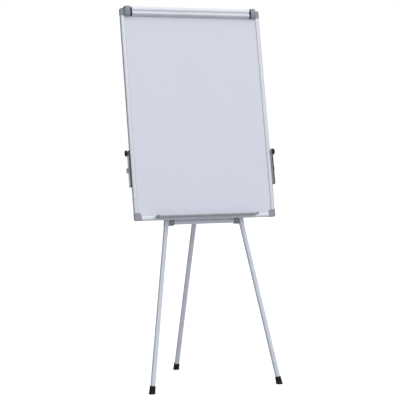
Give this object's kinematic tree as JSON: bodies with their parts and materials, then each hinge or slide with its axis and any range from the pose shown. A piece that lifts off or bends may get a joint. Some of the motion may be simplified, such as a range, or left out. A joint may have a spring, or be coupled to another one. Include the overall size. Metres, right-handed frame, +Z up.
{
  "type": "flipchart easel",
  "caption": "Free-standing flipchart easel: a framed dry-wipe board with a sprung paper clamp, pen tray and side arms on an adjustable folding tripod.",
  "frame": {"origin": "floor level, at the centre of the bounding box of the standing easel", "axes": "+Z up, the board faces -Y, +X to the viewer's right of the board, left and right pieces mirror across x = 0"},
  "size_m": [0.7472, 0.577, 1.7693],
  "materials": {
    "aluminium": "satin anodised extrusion",
    "paint": "silver-grey powder coat",
    "steel": "bright zinc plate",
    "board": "glossy white dry-wipe lacquer",
    "core": "raw honeycomb board",
    "backing": "dull galvanised sheet",
    "grey_plastic": "fine moulded grain",
    "dark_plastic": "bluish grey, fine moulded grain",
    "black_plastic": "semi-matte moulded",
    "rubber": "matte"
  },
  "bodies": {
    "easel": {"board_sheet": "board", "board_core": "core", "board_backing": "backing", "rail_right": "aluminium", "rail_left": "aluminium", "rail_top": "aluminium", "rail_bottom": "aluminium", "corner_bottom_right": "grey_plastic", "corner_bottom_left": "grey_plastic", "corner_top_right": "grey_plastic", "corner_top_left": "grey_plastic", "clamp_base": "aluminium", "clamp_rod": "steel", "clamp_end_right": "dark_plastic", "clamp_end_left": "dark_plastic", "clamp_spring_right": "steel", "clamp_spring_left": "steel", "pen_tray": "grey_plastic", "tray_cap_right": "grey_plastic", "tray_cap_left": "grey_plastic", "arm_bolt_right": "steel", "arm_bolt_left": "steel", "upper_leg_right": "paint", "upper_leg_left": "paint", "crossbar": "paint", "leg_connector_right": "dark_plastic", "leg_connector_left": "dark_plastic", "connector_rivet_right": "steel", "connector_rivet_left": "steel", "hinge_bar": "paint", "rear_yoke": "steel", "rear_pin": "steel", "top_hub": "dark_plastic", "hanger_plate": "steel", "lower_bracket": "steel"},
    "clamp": {"clamp_cover": "aluminium", "cover_plug_right": "black_plastic", "cover_plug_left": "black_plastic"},
    "peg_right": {"pad_peg_right": "black_plastic"},
    "peg_left": {"pad_peg_left": "black_plastic"},
    "arm_right": {"arm_channel_right": "aluminium", "arm_strip_right": "black_plastic", "arm_tip_right": "black_plastic", "arm_peg_right": "grey_plastic"},
    "arm_left": {"arm_channel_left": "aluminium", "arm_strip_left": "black_plastic", "arm_tip_left": "black_plastic", "arm_peg_left": "grey_plastic"},
    "knob_arm_right": {"arm_knob_right": "black_plastic"},
    "knob_arm_left": {"arm_knob_left": "black_plastic"},
    "leg_right": {"lower_leg_right": "paint", "foot_right": "rubber"},
    "leg_left": {"lower_leg_left": "paint", "foot_left": "rubber"},
    "knob_leg_right": {"leg_lock_knob_right": "black_plastic"},
    "knob_leg_left": {"leg_lock_knob_left": "black_plastic"},
    "rear_leg": {"rear_sleeve": "paint"},
    "rear_leg_lower": {"rear_tube": "paint", "foot_rear": "rubber"},
    "knob_rear": {"rear_lock_knob": "black_plastic"}
  },
  "joints": [
    {"name": "clamp_hinge", "type": "hinge", "parent": "easel", "child": "clamp", "pos_m": [0, 0.02948, 1.76124], "axis": [-1, 0, 0], "range_deg": [0, 105], "stiffness_Nm_per_rad": 0.12, "springref_deg": -57.3},
    {"name": "peg_right_slide", "type": "slide", "parent": "easel", "child": "peg_right", "axis": [1, 0, 0], "range_m": [-0.05, 0.05]},
    {"name": "peg_left_slide", "type": "slide", "parent": "easel", "child": "peg_left", "axis": [1, 0, 0], "range_m": [-0.05, 0.05]},
    {"name": "arm_right_pivot", "type": "hinge", "parent": "easel", "child": "arm_right", "pos_m": [0.3565, -0.09009, 1.08353], "axis": [-1, 0, 0], "range_deg": [0, 180]},
    {"name": "arm_left_pivot", "type": "hinge", "parent": "easel", "child": "arm_left", "pos_m": [-0.3565, -0.09009, 1.08353], "axis": [-1, 0, 0], "range_deg": [0, 180]},
    {"name": "arm_right_knob_turn", "type": "hinge", "parent": "easel", "child": "knob_arm_right", "pos_m": [0.3565, -0.09009, 1.08353], "axis": [1, 0, 0], "range_deg": [0, 360]},
    {"name": "arm_left_knob_turn", "type": "hinge", "parent": "easel", "child": "knob_arm_left", "pos_m": [-0.3565, -0.09009, 1.08353], "axis": [-1, 0, 0], "range_deg": [0, 360]},
    {"name": "leg_right_slide", "type": "slide", "parent": "easel", "child": "leg_right", "axis": [-0.1637, 0.1938, 0.9673], "range_m": [-0.1, 0.65]},
    {"name": "leg_left_slide", "type": "slide", "parent": "easel", "child": "leg_left", "axis": [0.1637, 0.1938, 0.9673], "range_m": [-0.1, 0.65]},
    {"name": "leg_right_knob_turn", "type": "hinge", "parent": "easel", "child": "knob_leg_right", "pos_m": [0.161, -0.10884, 0.76194], "axis": [0, 0.9805, -0.1965], "range_deg": [0, 360]},
    {"name": "leg_left_knob_turn", "type": "hinge", "parent": "easel", "child": "knob_leg_left", "pos_m": [-0.161, -0.10884, 0.76194], "axis": [0, 0.9805, -0.1965], "range_deg": [0, 360]},
    {"name": "rear_leg_hinge", "type": "hinge", "parent": "easel", "child": "rear_leg", "pos_m": [0, -0.05793, 0.93103], "axis": [-1, 0, 0], "range_deg": [0, 30.98]},
    {"name": "rear_leg_slide", "type": "slide", "parent": "rear_leg", "child": "rear_leg_lower", "axis": [0, -0.3363, 0.9418], "range_m": [-0.08, 0.05]},
    {"name": "rear_knob_turn", "type": "hinge", "parent": "rear_leg", "child": "knob_rear", "pos_m": [0, -0.02093, 0.82744], "axis": [0, 0.9418, 0.3363], "range_deg": [0, 360]}
  ]
}
